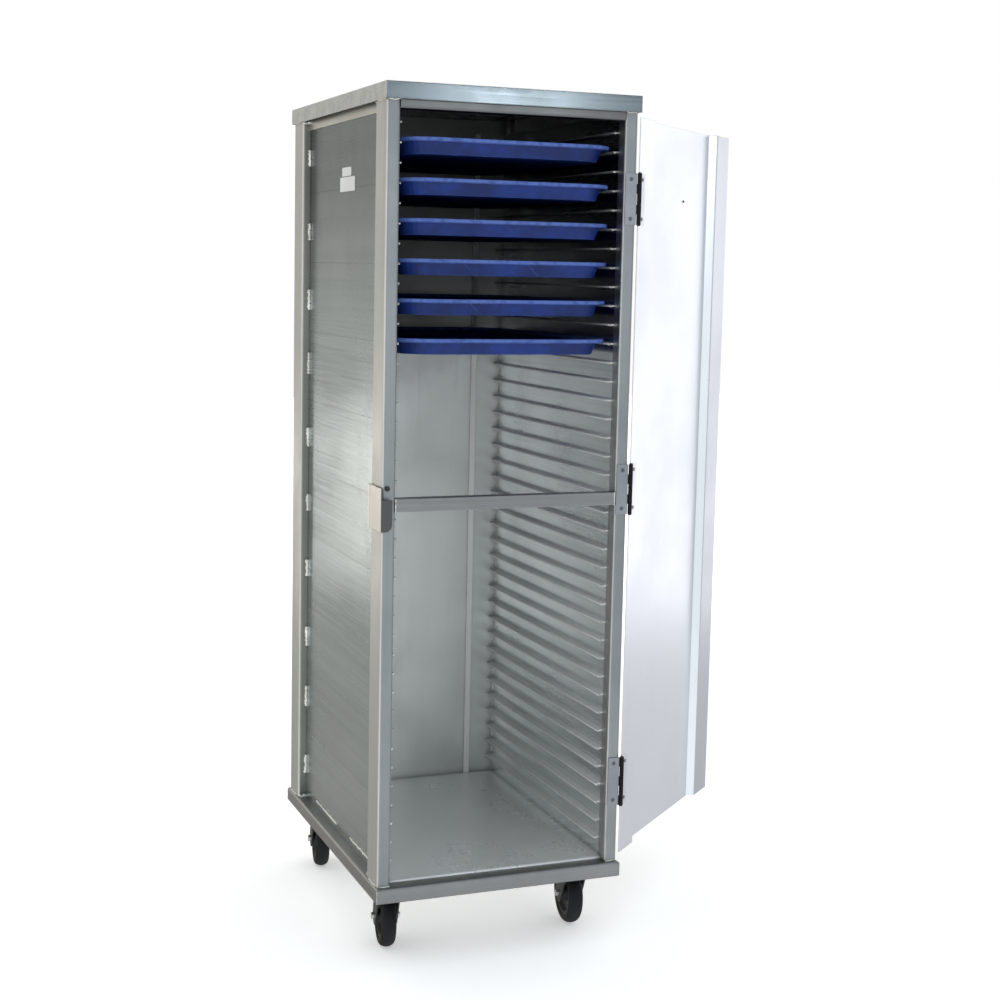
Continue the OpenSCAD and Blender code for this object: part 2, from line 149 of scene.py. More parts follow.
def softbox(name, place, target, width, height, brightness, colour=(1, 1, 1), mirrored=True):
    """A large flat light aimed at a point; brightness is that of its surface."""
    lamp = bpy.data.lights.new(name, "AREA")
    lamp.shape = "RECTANGLE"
    lamp.size = width
    lamp.size_y = height
    lamp.energy = brightness * width * height * math.pi
    lamp.color = colour
    light = bpy.data.objects.new(name, lamp)
    scene.collection.objects.link(light)
    light.location = place
    light.rotation_euler = (Vector(target) - Vector(place)).to_track_quat("-Z", "Y").to_euler()
    light.visible_camera = False
    light.visible_glossy = mirrored


WARM, COOL, PALE_BLUE = (1.0, 0.95, 0.87), (0.90, 0.95, 1.0), (0.95, 0.96, 1.0)

# Brightness and colour of the studio round the object, by direction.
FRONT_LOW, FRONT_HIGH = (0.98, 1.04, 1.08, 1), (0.44, 0.50, 0.55, 1)
BEHIND_FLOOR = (0.36, 0.35, 0.33, 1)
BEHIND_LOW, BEHIND_HIGH = (0.46, 0.455, 0.43, 1), (0.66, 0.65, 0.61, 1)
RIGHT_LOW, RIGHT_HIGH = (0.72, 0.73, 0.77, 1), (0.50, 0.52, 0.55, 1)
LEFT = (1.15, 1.15, 1.15, 1)


def studio_air(group):
    """The studio round the object: cool in front, warm and dim behind, brightest on the left."""
    way = group.add("ShaderNodeSeparateXYZ")
    group.link(group.add("ShaderNodeTexCoord").outputs["Generated"], way.inputs[0])
    side, depth, rise = way.outputs
    front = group.blend(group.spread(rise, -0.04, 0.12), FRONT_LOW, FRONT_HIGH)
    behind = group.blend(group.spread(rise, -0.10, 0.03), BEHIND_LOW, BEHIND_HIGH)
    low = group.blend(group.spread(rise, -0.36, -0.29), BEHIND_FLOOR, behind)
    right = group.blend(group.spread(rise, -0.28, -0.08), RIGHT_LOW, RIGHT_HIGH)
    air = group.blend(group.spread(depth, -0.1, 0.3), front, low)
    air = group.blend(group.spread(side, 0.6, 0.85), air, right)
    return group.blend(group.spread(side, -0.72, -0.86), air, LEFT)


def set_up_light():
    softbox("front_softbox", place=(-2.2, -4.8, 2.6), target=(0, 0, 0.9), width=2.6, height=2.2,
            brightness=0.8, colour=COOL)
    softbox("right_softbox", place=(4.6, 1.5, 1.42), target=(0.4, -0.2, 1.0), width=3.4, height=3.5,
            brightness=0.86, colour=PALE_BLUE)
    softbox("left_softbox", place=(-1.92, 3.9, 0.38), target=(-0.25, -0.2, 0.9), width=0.6, height=0.8,
            brightness=2.9, colour=WARM)
    softbox("glint_softbox", place=(1.45, -4.0, 2.12), target=(0.0, -0.3, 1.7), width=0.25, height=0.5,
            brightness=20.0, colour=COOL)
    softbox("paper_wash", place=(0, 0.5, 7.0), target=(0, 0.5, 0), width=16, height=16,
            brightness=0.40, mirrored=False)
    world = bpy.data.worlds.new("studio_air")
    world.use_nodes = True
    group = Group(world.node_tree)
    air = world.node_tree.nodes["Background"]
    group.link(studio_air(group), air.inputs["Color"])
    paper = group.add("ShaderNodeBackground")
    paper.inputs["Color"].default_value = (1, 1, 1, 1)
    either = group.add("ShaderNodeMixShader")
    group.link(group.add("ShaderNodeLightPath").outputs["Is Camera Ray"], either.inputs[0])
    group.link(air.outputs[0], either.inputs[1])
    group.link(paper.outputs[0], either.inputs[2])
    group.link(either.outputs[0], world.node_tree.nodes["World Output"].inputs["Surface"])
    scene.world = world
    scene.view_settings.view_transform = "Standard"
    scene.view_settings.exposure = 0.0


FLOOR_REACH = 14
GLOW_NEAR, GLOW_FAR = 1.5, 5.0


def lay_floor():
    """A plain pale studio floor that fades into the white backdrop with distance."""
    mesh = bpy.data.meshes.new("studio_floor")
    ends = ((-1, -1), (1, -1), (1, 1), (-1, 1))
    mesh.from_pydata([(x * FLOOR_REACH, y * FLOOR_REACH, 0) for x, y in ends], [], [(0, 1, 2, 3)])
    floor = bpy.data.objects.new("studio_floor", mesh)
    scene.collection.objects.link(floor)
    floor.visible_glossy = False
    paper = bpy.data.materials.new("studio_paper")
    paper.use_nodes = True
    skin = paper.node_tree.nodes["Principled BSDF"]
    skin.inputs["Base Color"].default_value = (0.94, 0.94, 0.94, 1)
    skin.inputs["Roughness"].default_value = 0.9
    group = Group(paper.node_tree)
    away = group.add("ShaderNodeVectorMath", operation="LENGTH")
    group.link(group.own_place(), away.inputs[0])
    share = group.spread(away.outputs["Value"], GLOW_NEAR, GLOW_FAR)
    glow = group.blend(share, (0.36, 0.36, 0.355, 1), (1, 1, 1, 1))
    group.link(glow, skin.inputs["Emission Color"])
    skin.inputs["Emission Strength"].default_value = 1.0
    mesh.materials.append(paper)


set_up_camera()
set_up_light()
lay_floor()


# ---------- shader groups ----------

VALUE, VECTOR, SHAPE = "NodeSocketFloat", "NodeSocketVector", "NodeSocketGeometry"


def new_tree(name, kind, takes, gives):
    """An empty node group with its named sockets."""
    tree = bpy.data.node_groups.new(name, kind)
    for label, socket_type, value in takes:
        socket = tree.interface.new_socket(name=label, in_out="INPUT", socket_type=socket_type)
        if value is not None:
            socket.default_value = value
    for label, socket_type in gives:
        tree.interface.new_socket(name=label, in_out="OUTPUT", socket_type=socket_type)
    group = Group(tree)
    return group, group.add("NodeGroupInput"), group.add("NodeGroupOutput")


def rolled_grain():
    """Fine streaks left by rolling, extruding or brushing."""
    group, take, give = new_tree("rolled_grain", "ShaderNodeTree",
                                 [("Stretch", VECTOR, (60, 60, 2)), ("Seed", VALUE, 0.0)],
                                 [("Streaks", VALUE), ("Fine", VALUE)])
    place = group.own_place()
    seed = group.add("ShaderNodeCombineXYZ")
    group.link(take.outputs["Seed"], seed.inputs[0])
    lines = group.stretched(place, take.outputs["Stretch"], seed.outputs[0])
    group.link(group.noise(lines, 1.0, 4.0, 0.6), give.inputs["Streaks"])
    group.link(group.noise(lines, 7.0, 3.0, 0.7), give.inputs["Fine"])
    return group.tree


def handling_marks():
    """Cloudy patches from wiping and hands, and a few thin scratches."""
    group, take, give = new_tree("handling_marks", "ShaderNodeTree",
                                 [("Size", VALUE, 4.0), ("Seed", VALUE, 0.0)],
                                 [("Clouds", VALUE), ("Scratches", VALUE), ("Specks", VALUE)])
    place = group.own_place()
    seed = group.add("ShaderNodeCombineXYZ")
    group.link(take.outputs["Seed"], seed.inputs[1])
    moved = group.stretched(place, (1, 1, 1), seed.outputs[0])
    clouds = group.noise(moved, take.outputs["Size"], 5.0, 0.62)
    group.link(group.spread(clouds, 0.36, 0.68), give.inputs["Clouds"])
    bent = group.add("ShaderNodeVectorRotate", rotation_type="EULER_XYZ")
    bent.inputs["Rotation"].default_value = (0.5, 0.35, 0.8)
    group.link(moved, bent.inputs["Vector"])
    thin = group.noise(group.stretched(bent.outputs[0], (170, 5, 5)), 1.0, 2.0, 0.5)
    patch = group.spread(group.noise(moved, 3.1, 2.0), 0.55, 0.68)
    group.link(group.sum("MULTIPLY", group.spread(thin, 0.66, 0.74), patch), give.inputs["Scratches"])
    group.link(group.spread(group.noise(moved, 160.0, 2.0), 0.67, 0.76), give.inputs["Specks"])
    return group.tree


def edge_wear_and_sheen():
    """A mask along edges, broken up by noise, for edge wear and a painted edge highlight, and a normal that
    rounds them.
    """
    group, take, give = new_tree("edge_wear_and_sheen", "ShaderNodeTree",
                                 [("Radius", VALUE, 0.0015), ("Break Up", VALUE, 30.0)],
                                 [("Mask", VALUE), ("Normal", VECTOR)])
    bevel = group.add("ShaderNodeBevel", samples=4)
    group.link(take.outputs["Radius"], bevel.inputs["Radius"])
    flat = group.add("ShaderNodeNewGeometry").outputs["True Normal"]
    dot = group.add("ShaderNodeVectorMath", operation="DOT_PRODUCT")
    group.link(bevel.outputs[0], dot.inputs[0])
    group.link(flat, dot.inputs[1])
    edge = group.spread(dot.outputs["Value"], 0.995, 0.86)
    place = group.own_place()
    broken = group.spread(group.noise(place, take.outputs["Break Up"], 4.0), 0.3, 0.62, 0.25, 1.0)
    group.link(group.sum("MULTIPLY", edge, broken), give.inputs["Mask"])
    group.link(bevel.outputs[0], give.inputs["Normal"])
    return group.tree


def painted_corner_shade():
    """A mask of the corners and gaps, found by ambient occlusion, for painted shade there."""
    group, take, give = new_tree("painted_corner_shade", "ShaderNodeTree",
                                 [("Reach", VALUE, 0.02)], [("Mask", VALUE)])
    corners = group.add("ShaderNodeAmbientOcclusion", samples=6)
    group.link(take.outputs["Reach"], corners.inputs["Distance"])
    group.link(group.spread(corners.outputs["AO"], 0.9, 0.35), give.inputs["Mask"])
    return group.tree


GRAIN = rolled_grain()
MARKS = handling_marks()
EDGES = edge_wear_and_sheen()
CORNER_SHADE_TREE = painted_corner_shade()


def placed(group, tree, **values):
    node = group.add("ShaderNodeGroup", node_tree=tree)
    for key, value in values.items():
        node.inputs[key.replace("_", " ")].default_value = value
    return node


def shades(colour, factor):
    return tuple(min(1, part * factor) for part in colour) + (1,)


def new_material(name):
    material = bpy.data.materials.new(name)
    material.use_nodes = True
    group = Group(material.node_tree)
    return material, group, material.node_tree.nodes["Principled BSDF"]


def roughened(group, skin, height, edges, strength, depth):
    """Fine bumps on top of the rounded edges' normal."""
    bumped = group.add("ShaderNodeBump")
    bumped.inputs["Strength"].default_value = strength
    bumped.inputs["Distance"].default_value = depth
    group.link(height, bumped.inputs["Height"])
    group.link(edges.outputs["Normal"], bumped.inputs["Normal"])
    group.link(bumped.outputs[0], skin.inputs["Normal"])


def plank_tones(group, start, height, strength):
    """A value near 1 that differs from one wall plank to the next."""
    x, y, z = group.own_xyz()
    count = group.sum("DIVIDE", group.sum("SUBTRACT", z, start), height)
    step = group.sum("FLOOR", count, 0)
    tone = group.add("ShaderNodeTexWhiteNoise", noise_dimensions="1D")
    group.link(step, tone.inputs["W"])
    return group.spread(tone.outputs["Value"], 0.0, 1.0, 1 - strength, 1 + strength)


def shaded_near_axis(group, tint, dark, axis_x, axis_y, reach):
    """Painted shade: darker metal close to an upright axis, such as a hinge's knuckles."""
    x, y, z = group.own_xyz()
    across = group.sum("POWER", group.sum("SUBTRACT", x, axis_x), 2)
    along = group.sum("POWER", group.sum("SUBTRACT", y, axis_y), 2)
    away = group.sum("SQRT", group.sum("ADD", across, along), 0)
    return group.blend(group.spread(away, reach, reach * 1.25), dark + (1,), tint)


def shaded_front(group, tint, dark, front_y):
    """Painted shade: darker metal in front of a plane."""
    x, y, z = group.own_xyz()
    return group.blend(group.spread(y, front_y, front_y + 0.0006), dark + (1,), tint)


def face_light_and_shade(group, tint, planes):
    """Painted light and shade: another tint on faces that lie in the given planes across the object's depth,
    for how the light falls on each face.
    """
    x, y, z = group.own_xyz()
    for shade, depth in planes:
        off = group.sum("ABSOLUTE", group.sum("SUBTRACT", y, depth), 0)
        tint = group.blend(group.spread(off, 0.0009, 0.0005), tint, shade + (1,), "MULTIPLY")
    return tint


def outer_skin_shade(group, tint, shade, reach):
    """Painted shade: another, darker tint on the outer skin, further from the middle than reach."""
    x, y, z = group.own_xyz()
    away = group.sum("ABSOLUTE", x, 0)
    return group.blend(group.spread(away, reach, reach + 0.0003), tint, shade + (1,), "MULTIPLY")


def shaded_above(group, tint, shade, start, full, depth=1.0):
    """Painted shade that darkens the upper part, on what lies in front of a depth."""
    x, y, z = group.own_xyz()
    inside = group.spread(y, depth + 0.0006, depth + 0.0003)
    mask = group.sum("MULTIPLY", group.spread(z, start, full), inside)
    return group.blend(mask, tint, shade + (1,), "MULTIPLY")


def shaded_past(group, tint, shade, axis_x, axis_y, heading, reach):
    """Painted shade: a darker tint past a distance from the hinge axis, measured along the door."""
    x, y, z = group.own_xyz()
    along_x = group.sum("MULTIPLY", group.sum("SUBTRACT", x, axis_x), math.cos(heading))
    along_y = group.sum("MULTIPLY", group.sum("SUBTRACT", y, axis_y), math.sin(heading))
    away = group.sum("ADD", along_x, along_y)
    return group.blend(group.spread(away, reach, reach + 0.001), tint, shade + (1,), "MULTIPLY")


# How far each mark changes the metal's colour, and the shade it turns it to.
CLOUD_SHARE, EDGE_SHARE, WIPED_SHADE, SPECK_SHADE, CORNER_SHADE_TONE = 0.6, 0.7, 1.5, 0.55, 0.35
# How far clouds and scratches change the roughness, and how deep the scratches are.
CLOUD_ROUGH, SCRATCH_ROUGH, SCRATCH_DEPTH = 0.10, 0.05, 0.12


def sheet_metal(name, colour, rough, stretch, seed=0.0, dull=0.82, contrast=0.06, edge=0.0015, marks=4.0,
                bump=0.06, edge_lift=1.25, corner_shade=0.0, smears=0.0, planks=None, near=None, front=None,
                faces=None, outer_shade=None, upper_shade=None, past=None, metallic=1.0, scratches=1.0,
                streaky=0.16, specks=0.25):
    """Bare satin metal with streaks, cloudy wear, scratches, and lighter edges that are partly wear and
    partly a painted highlight.
    """
    material, group, skin = new_material(name)
    grain = placed(group, GRAIN, Stretch=stretch, Seed=seed)
    wear = placed(group, MARKS, Size=marks, Seed=seed)
    edges = placed(group, EDGES, Radius=edge)
    clouds, scratched = wear.outputs["Clouds"], wear.outputs["Scratches"]
    streak = group.spread(grain.outputs["Streaks"], 0.25, 0.75)
    tint = group.blend(streak, shades(colour, 1 - contrast), shades(colour, 1 + contrast * 0.5))
    tint = group.blend(group.sum("MULTIPLY", clouds, CLOUD_SHARE), tint, shades(colour, dull))
    if smears:
        wiped = placed(group, GRAIN, Stretch=tuple(part * 0.1 for part in stretch), Seed=seed + 40)
        bands = group.spread(wiped.outputs["Streaks"], 0.35, 0.65, 0.0, smears)
        tint = group.blend(bands, tint, shades(colour, WIPED_SHADE))
    speckled = group.sum("MULTIPLY", wear.outputs["Specks"], specks)
    tint = group.blend(speckled, tint, shades(colour, SPECK_SHADE))
    # Edges tinted by the edge lift: partly wear and partly a painted highlight on the rounded edges; a lift
    # under 1 darkens them.
    worn_and_lit_edges = group.sum("MULTIPLY", edges.outputs["Mask"], EDGE_SHARE)
    tint = group.blend(worn_and_lit_edges, tint, shades(colour, edge_lift))
    if planks:
        tone = group.add("ShaderNodeCombineColor")
        value = plank_tones(group, *planks)
        for channel in tone.inputs:
            group.link(value, channel)
        tint = group.blend(1.0, tint, tone.outputs[0], "MULTIPLY")
    # Painted light and shade on chosen faces, for how the light falls on them.
    if faces:
        tint = face_light_and_shade(group, tint, faces)
    # Painted shade on the outer skin, darker than the inner one.
    if outer_shade:
        tint = outer_skin_shade(group, tint, *outer_shade)
    # Painted shade darkening the upper part of the inside.
    if upper_shade:
        tint = shaded_above(group, tint, *upper_shade)
    # Painted shade on the door's raised edge beyond its step.
    if past:
        tint = shaded_past(group, tint, *past)
    # Painted shade: corners and gaps darkened by an ambient-occlusion mask.
    if corner_shade:
        corners = placed(group, CORNER_SHADE_TREE)
        shaded_corners = group.sum("MULTIPLY", corners.outputs["Mask"], corner_shade)
        tint = group.blend(shaded_corners, tint, shades(colour, CORNER_SHADE_TONE))
    # Painted shade on the hinge's knuckles round its axis.
    if near:
        tint = shaded_near_axis(group, tint, *near)
    # Painted shade on the latch's front flap.
    if front:
        tint = shaded_front(group, tint, *front)
    group.link(tint, skin.inputs["Base Color"])
    skin.inputs["Metallic"].default_value = metallic
    base = group.sum("ADD", group.sum("MULTIPLY", grain.outputs["Streaks"], streaky), rough - streaky / 2)
    cloudy = group.sum("ADD", base, group.sum("MULTIPLY", clouds, CLOUD_ROUGH))
    polished = group.sum("MULTIPLY", scratched, SCRATCH_ROUGH * scratches)
    group.link(group.sum("SUBTRACT", cloudy, polished, True), skin.inputs["Roughness"])
    cuts = group.sum("MULTIPLY", scratched, SCRATCH_DEPTH * scratches)
    height = group.sum("SUBTRACT", grain.outputs["Fine"], cuts)
    roughened(group, skin, height, edges, bump, 0.0006)
    return material


def rim_highlight_band(group, tint, light, top, pitch, depth):
    """A painted highlight: a lighter band at the top of each of several equal pieces stacked at a pitch."""
    x, y, z = group.own_xyz()
    over = top + 10 * pitch
    below = group.sum("SUBTRACT", over, z)
    down = group.sum("MODULO", below, pitch)
    mottle = group.spread(group.noise(group.own_place(), 90.0, 3.0), 0.3, 0.6, 0.5, 1)
    mask = group.sum("MULTIPLY", group.spread(down, depth * 1.2, depth * 0.8), mottle)
    return group.blend(mask, tint, light + (1,))


def coated(name, colour, rough, wear_and_sheen_colour, wear_and_sheen_amount, coarse=90.0, bump=0.12, metallic=0.0, coat=0.0,
           spread_of_colour=0.25, edge=0.0015, marks=9.0, band=None, gloss=0.5):
    """Paint, rubber or moulded plastic: mottled colour, fine texture, and lighter edges, partly from rubbing
    and partly a painted highlight.
    """
    material, group, skin = new_material(name)
    place = group.own_place()
    wear = placed(group, MARKS, Size=marks, Seed=3.0)
    edges = placed(group, EDGES, Radius=edge)
    tone = group.blend(wear.outputs["Clouds"], shades(colour, 1 - spread_of_colour),
                       shades(colour, 1 + spread_of_colour))
    dusty = group.blend(group.sum("MULTIPLY", wear.outputs["Scratches"], 0.35), tone, wear_and_sheen_colour + (1,))
    # Lighter edges: partly wear from rubbing and partly a painted highlight.
    rubbed_and_lit = group.blend(group.sum("MULTIPLY", edges.outputs["Mask"], wear_and_sheen_amount), dusty, wear_and_sheen_colour + (1,))
    # Painted highlight along the top of each tray's rim.
    if band:
        rubbed_and_lit = rim_highlight_band(group, rubbed_and_lit, *band)
    group.link(rubbed_and_lit, skin.inputs["Base Color"])
    skin.inputs["Metallic"].default_value = metallic
    skin.inputs["Specular IOR Level"].default_value = gloss
    skin.inputs["Coat Weight"].default_value = coat
    skin.inputs["Coat Roughness"].default_value = 0.2
    fine = group.noise(place, coarse * 10, 3.0, 0.6)
    uneven = group.sum("ADD", group.sum("MULTIPLY", fine, 0.12), rough - 0.06)
    group.link(group.sum("ADD", uneven, group.sum("MULTIPLY", wear.outputs["Clouds"], 0.08), True),
               skin.inputs["Roughness"])
    roughened(group, skin, fine, edges, bump, 0.0004)
    return material


UPRIGHT, SIDEWAYS, INWARDS = (240, 240, 3), (3, 240, 240), (240, 3, 240)
GREY = (0.58, 0.58, 0.56)
pin_low, pin_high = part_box("hinge_pins")
HINGE_AXIS = ((pin_low[0] + pin_high[0]) / 2, (pin_low[1] + pin_high[1]) / 2)
FLAP_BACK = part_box("latch_hook")[0][1] + 0.0024
FLOOR_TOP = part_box("floor_pan")[1][2]
PLANKS_A_SIDE = 10
PLANK = (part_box("left_wall_planks")[1][2] - FLOOR_TOP) / PLANKS_A_SIDE
JOINTS = frame["record"]["behaviour"]["joints"]
DOOR_JOINT = next(joint for joint in JOINTS if joint["name"] == "door_hinge")
DOOR_HEADING = math.radians(180 - DOOR_JOINT["range_deg"][0])
LID_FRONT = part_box("lid")[0][1]
POST_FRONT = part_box("front_left_post")[0][1]
REAR_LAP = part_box("rear_left_post")[0][1]
TRAY_TOPS = sorted(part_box(name)[1][2] for name in TRAYS)
# Painted shade over the dim upper inside: its shade, and the heights where it starts and where it is full.
UPPER_SHADE = ((0.34, 0.34, 0.34), 1.22, 1.62)

FINISH = {
    # Posts: a cool darker tint on the front faces and a warm darker tint on the rear laps, painted shade in
    # the colour of the light there.
    "frame_upright": sheet_metal(
        "frame_upright_metal", GREY, 0.38, UPRIGHT, 1.0, edge=0.003, corner_shade=0.8, smears=0.2, edge_lift=1.6,
        faces=(((0.55, 0.57, 0.60), POST_FRONT), ((0.66, 0.63, 0.57), REAR_LAP))),
    # Cross pieces and header: the metal is set darker than the posts, partly painted shade for their forward
    # faces.
    "frame_across": sheet_metal(
        "frame_across_metal", (0.28, 0.28, 0.275), 0.32, SIDEWAYS, 2.0, contrast=0.14, bump=0.02,
        edge=0.003, corner_shade=0.6, smears=0.3, edge_lift=1.8),
    "header": sheet_metal(
        "header_metal", (0.17, 0.17, 0.165), 0.34, SIDEWAYS, 19.0, contrast=0.14, bump=0.02,
        smears=0.3, edge_lift=1.8),
    "frame_inwards": sheet_metal(
        "frame_inwards_metal", (0.36, 0.36, 0.35), 0.34, INWARDS, 3.0, contrast=0.12, bump=0.02,
        edge=0.003, corner_shade=0.5, smears=0.3, edge_lift=1.8),
    # Side top rails: the metal is set lighter than the posts, partly painted light for these rails in the
    # lid's shadow.
    "top_rail": sheet_metal("top_rail_metal", (0.72, 0.71, 0.67), 0.34, INWARDS, 16.0),
    # Lid: its front face is tinted darker and bluer as painted shade.
    "lid": sheet_metal(
        "lid_metal", (0.52, 0.53, 0.53), 0.21, SIDEWAYS, 4.0, contrast=0.20, marks=2.2, edge=0.003,
        bump=0.01, smears=0.35, edge_lift=1.7, faces=(((0.28, 0.315, 0.335), LID_FRONT),),
        scratches=0.0),
    # Inside pieces: the metal is set lighter than the outer frame, partly painted light for the dim inside.
    "planks": sheet_metal(
        "plank_metal", (0.84, 0.86, 0.86), 0.19, INWARDS, 5.0, dull=0.86, contrast=0.16, marks=3.0,
        bump=0.01, edge=0.0006, smears=0.5, planks=(FLOOR_TOP, PLANK, 0.05),
        outer_shade=((0.48, 0.53, 0.54), 0.2395), upper_shade=UPPER_SHADE, scratches=0.0),
    "ledges": sheet_metal(
        "ledge_metal", (0.86, 0.855, 0.825), 0.40, INWARDS, 6.0, edge=0.0008, bump=0.02,
        upper_shade=UPPER_SHADE, metallic=0.2, scratches=0.0),
    "back": sheet_metal(
        "back_metal", (0.70, 0.70, 0.675), 0.46, UPRIGHT, 7.0, dull=0.9, contrast=0.03, marks=2.5,
        corner_shade=0.7, upper_shade=UPPER_SHADE + (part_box("back_panel")[0][1],)),
    "batten": sheet_metal("batten_metal", (0.99, 0.97, 0.93), 0.5, UPRIGHT, 8.0, dull=0.95, metallic=0.4),
    "floor": sheet_metal(
        "floor_metal", (0.90, 0.90, 0.875), 0.25, INWARDS, 9.0, dull=0.92, marks=3.5, edge_lift=0.75,
        corner_shade=0.9, bump=0.004, metallic=0.5, scratches=0.0, contrast=0.02, streaky=0.03, specks=0.06),
    "door": sheet_metal(
        "door_metal", (0.82, 0.83, 0.85), 0.30, UPRIGHT, 10.0, dull=0.94, contrast=0.02, marks=1.6,
        bump=0.03, past=((0.74, 0.74, 0.75), *HINGE_AXIS, DOOR_HEADING, 0.4485)),
    # Door step: a lighter colour than the door, a painted highlight on its slanted face.
    "door_step": sheet_metal(
        "door_step_highlight_metal", (0.90, 0.91, 0.93), 0.30, UPRIGHT, 18.0, dull=0.94, contrast=0.02,
        marks=1.6, bump=0.03),
    # Hinges: the knuckles near the axis are painted dark as shade.
    "hinge": sheet_metal(
        "hinge_steel", (0.33, 0.34, 0.36), 0.36, UPRIGHT, 11.0, edge=0.0006,
        near=((0.02, 0.02, 0.021), *HINGE_AXIS, 0.0052)),
    "door_hinge": sheet_metal(
        "door_hinge_steel", (0.82, 0.83, 0.85), 0.33, UPRIGHT, 17.0, edge=0.0006,
        near=((0.02, 0.02, 0.021), *HINGE_AXIS, 0.0052)),
    # Hinge pins: near-black steel, painted shade like the knuckles round them.
    "knuckle_pin": coated("pin_steel", (0.05, 0.05, 0.05), 0.5, (0.2, 0.2, 0.2), 0.6, metallic=0.6),
    "screw": sheet_metal("screw_steel", (0.16, 0.16, 0.16), 0.40, UPRIGHT, 12.0, edge=0.0005, edge_lift=1.6),
    # Latch: its front flap is painted dark as shade.
    "latch": sheet_metal(
        "latch_steel", (0.86, 0.83, 0.77), 0.40, UPRIGHT, 13.0, edge=0.001,
        front=((0.12, 0.12, 0.118), FLAP_BACK)),
    "weld": sheet_metal(
        "weld_metal", (0.92, 0.89, 0.81), 0.34, (40, 40, 40), 14.0, dull=0.6, contrast=0.3, edge=0.0004),
    "zinc": sheet_metal(
        "zinc_plate", (0.70, 0.70, 0.66), 0.30, (50, 50, 50), 15.0, contrast=0.25, edge=0.0006),
    "caster": coated("caster_black", (0.010, 0.010, 0.011), 0.38, (0.16, 0.16, 0.16), 0.7, edge=0.001),
    "hub": coated("hub_black", (0.02, 0.02, 0.021), 0.5, (0.09, 0.09, 0.09), 0.5, edge=0.001),
    "tyre": coated(
        "tyre_rubber", (0.003, 0.003, 0.003), 0.56, (0.014, 0.014, 0.013), 0.5, coarse=60.0, bump=0.2,
        edge=0.002, marks=20.0, gloss=0.28),
    "bumper": coated("bumper_rubber", (0.02, 0.02, 0.02), 0.6, (0.08, 0.08, 0.08), 0.4, edge=0.001),
    # Trays: the lighter rim band is a painted highlight; the lighter edges are partly wear and partly painted
    # highlight.
    "tray": coated(
        "tray_blue", (0.007, 0.025, 0.150), 0.46, (0.08, 0.15, 0.46), 0.85, coarse=40.0, bump=0.2,
        spread_of_colour=0.30, edge=0.003, marks=14.0, gloss=0.25,
        band=((0.075, 0.13, 0.38), TRAY_TOPS[-1], TRAY_TOPS[-1] - TRAY_TOPS[-2], 0.0065)),
    "label": coated(
        "label_paper", (0.56, 0.56, 0.545), 0.5, (0.6, 0.6, 0.58), 0.6, coat=0.3, edge=0.0005,
        spread_of_colour=0.06),
}

NODE_FINISH = {
    "frame_upright": ("front_left_post", "front_right_post", "rear_left_post", "rear_right_post"),
    "frame_across": ("base_front_rail", "base_rear_rail", "front_caster_channel", "rear_caster_channel",
                     "rear_top_rail", "middle_bar"),
    "header": ("front_header",),
    "frame_inwards": ("base_left_rail", "base_right_rail"),
    "top_rail": ("left_top_rail", "right_top_rail"),
    "lid": ("lid",),
    "planks": ("left_wall_planks", "right_wall_planks"),
    "ledges": ("left_ledges", "right_ledges"),
    "back": ("back_panel",),
    "batten": ("back_batten",),
    "floor": ("floor_pan",),
    "door": ("door_sheet",),
    "hinge": ("hinge_frame_leaves",),
    "door_hinge": ("hinge_door_leaves",),
    "knuckle_pin": ("hinge_pins",),
    "screw": ("hinge_frame_screws", "hinge_door_screws"),
    "latch": ("latch_hook", "latch_bracket", "latch_pin"),
    "zinc": ("caster_bolts",) + tuple(c + "_axle" for c in CORNERS),
    "caster": tuple(c + part for c in CORNERS for part in ("_fork", "_caster_plate")),
    "hub": tuple(c + "_hub" for c in CORNERS),
    "tyre": tuple(c + "_tyre" for c in CORNERS),
    "bumper": ("door_bumper",),
    "tray": TRAYS,
}


def finish_nodes():
    """Every CAD node gets its detailed finish."""
    for finish, names in NODE_FINISH.items():
        for name in names:
            slots = nodes[name].material_slots
            for slot in slots:
                slot.link = "DATA"
                slot.material = FINISH[finish]
            if not len(slots):
                nodes[name].data.materials.append(FINISH[finish])


finish_nodes()


# ---------- shapes made by geometry nodes ----------

def ended(group, shape, material_socket, give):
    """Realize Instances, smooth shading and Set Material at the end of a tree."""
    real = group.add("GeometryNodeRealizeInstances")
    smooth = group.add("GeometryNodeSetShadeSmooth")
    paint = group.add("GeometryNodeSetMaterial")
    group.link(shape, real.inputs[0])
    group.link(real.outputs[0], smooth.inputs[0])
    group.link(smooth.outputs[0], paint.inputs["Geometry"])
    group.link(material_socket, paint.inputs["Material"])
    group.link(paint.outputs[0], give.inputs[0])


